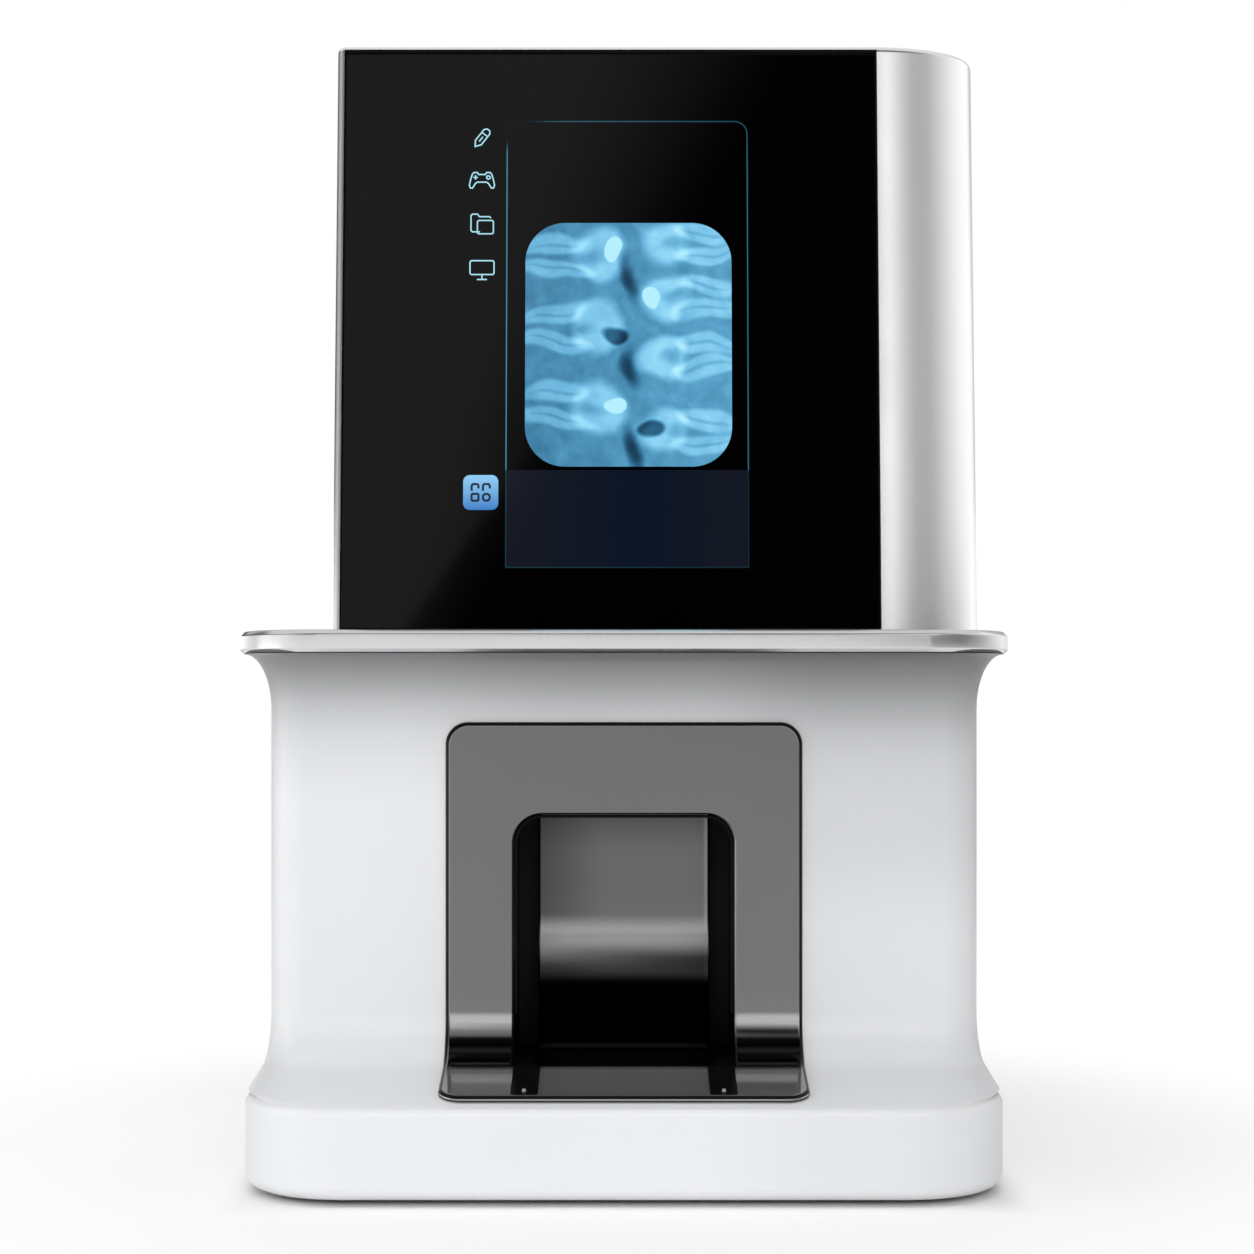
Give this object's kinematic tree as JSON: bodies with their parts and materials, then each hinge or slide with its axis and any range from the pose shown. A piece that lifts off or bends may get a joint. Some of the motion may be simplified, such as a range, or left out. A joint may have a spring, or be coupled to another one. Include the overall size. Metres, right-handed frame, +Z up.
{
  "type": "phosphor plate scanner",
  "caption": "Desktop imaging plate scanner: a tower with a black touch screen on a silver shelf, over a white body with a plate recess and sloping tray on a wide base.",
  "frame": {"origin": "on the table, under the middle of the object's box", "axes": "+Z up, -Y towards the person who stands in front of the screen, +X to the right in the front view"},
  "size_m": [0.266, 0.25, 0.3922],
  "materials": {
    "white_moulding": "satin white moulding",
    "silver": "fine satin silver",
    "black_glass": "polished black",
    "display": "lit screen",
    "black_plastic": "fine texture",
    "dark_bezel": "dark grey, glossy tray",
    "grey_panel": "satin grey",
    "rubber": "matt",
    "steel": "brushed",
    "brass": "turned",
    "circuit_board": "solder mask",
    "clear_acrylic": "polished",
    "mirror": "first surface mirror",
    "felt": "felt"
  },
  "bodies": {
    "housing": {"main_housing": "white_moulding", "rear_cover": "white_moulding", "shelf": "silver", "tower_cover": "silver", "heat_sink": "silver", "front_glass": "black_glass", "display_module": "display", "screen_carrier": "black_plastic", "recess_liner": "black_plastic", "power_inlet": "black_plastic", "switch_body": "black_plastic", "fan_frame": "black_plastic", "recess_bezel": "dark_bezel", "chute_panel": "grey_panel", "foot_front_left": "rubber", "foot_front_right": "rubber", "foot_rear_left": "rubber", "foot_rear_right": "rubber", "bottom_plate": "steel", "chassis_plate": "steel", "guide_bracket_lower": "steel", "guide_bracket_upper": "steel", "guide_rod_left": "steel", "guide_rod_right": "steel", "lift_motor": "steel", "optics_bench": "steel", "mirror_motor": "steel", "photomultiplier": "steel", "power_supply": "steel", "usb_port": "steel", "lan_port": "steel", "rear_screw_1": "steel", "rear_screw_2": "steel", "rear_screw_3": "steel", "rear_screw_4": "steel", "base_screw_1": "steel", "base_screw_2": "steel", "base_screw_3": "steel", "base_screw_4": "steel", "laser_module": "brass", "screw_bearing_lower": "brass", "screw_bearing_upper": "brass", "main_board": "circuit_board", "erase_lamp_board": "circuit_board", "light_guide": "clear_acrylic", "slot_seal": "felt"},
    "plate_carriage": {"carriage_block": "black_plastic", "lead_nut": "brass", "plate_holder": "grey_panel", "magnet_pad": "black_plastic"},
    "lift_screw": {"lead_screw": "steel"},
    "beam_mirror": {"scan_mirror": "mirror"},
    "fan_wheel": {"fan_rotor": "black_plastic"},
    "rocker": {"power_rocker": "black_plastic"}
  },
  "joints": [
    {"name": "holder_lift", "type": "slide", "parent": "housing", "child": "plate_carriage", "axis": [0, 0, 1], "range_m": [-0.05, 0]},
    {"name": "screw_turn", "type": "hinge", "parent": "housing", "child": "lift_screw", "pos_m": [0, -0.031, 0.19], "axis": [0, 0, 1], "range_deg": [0, 2251]},
    {"name": "mirror_swing", "type": "hinge", "parent": "housing", "child": "beam_mirror", "pos_m": [0, -0.0704, 0.15], "axis": [0, 0, 1], "range_deg": [-12, 12], "stiffness_Nm_per_rad": 0.0002},
    {"name": "fan_spin", "type": "hinge", "parent": "housing", "child": "fan_wheel", "pos_m": [0, 0.108, 0.1242], "axis": [0, 1, 0], "continuous": true},
    {"name": "rocker_tip", "type": "hinge", "parent": "housing", "child": "rocker", "pos_m": [-0.036, 0.1121, 0.0781], "axis": [1, 0, 0], "range_deg": [0, 18]}
  ],
  "couplings": [
    {"joint": "screw_turn", "follows": "holder_lift", "rad_per_m": -785.4}
  ]
}
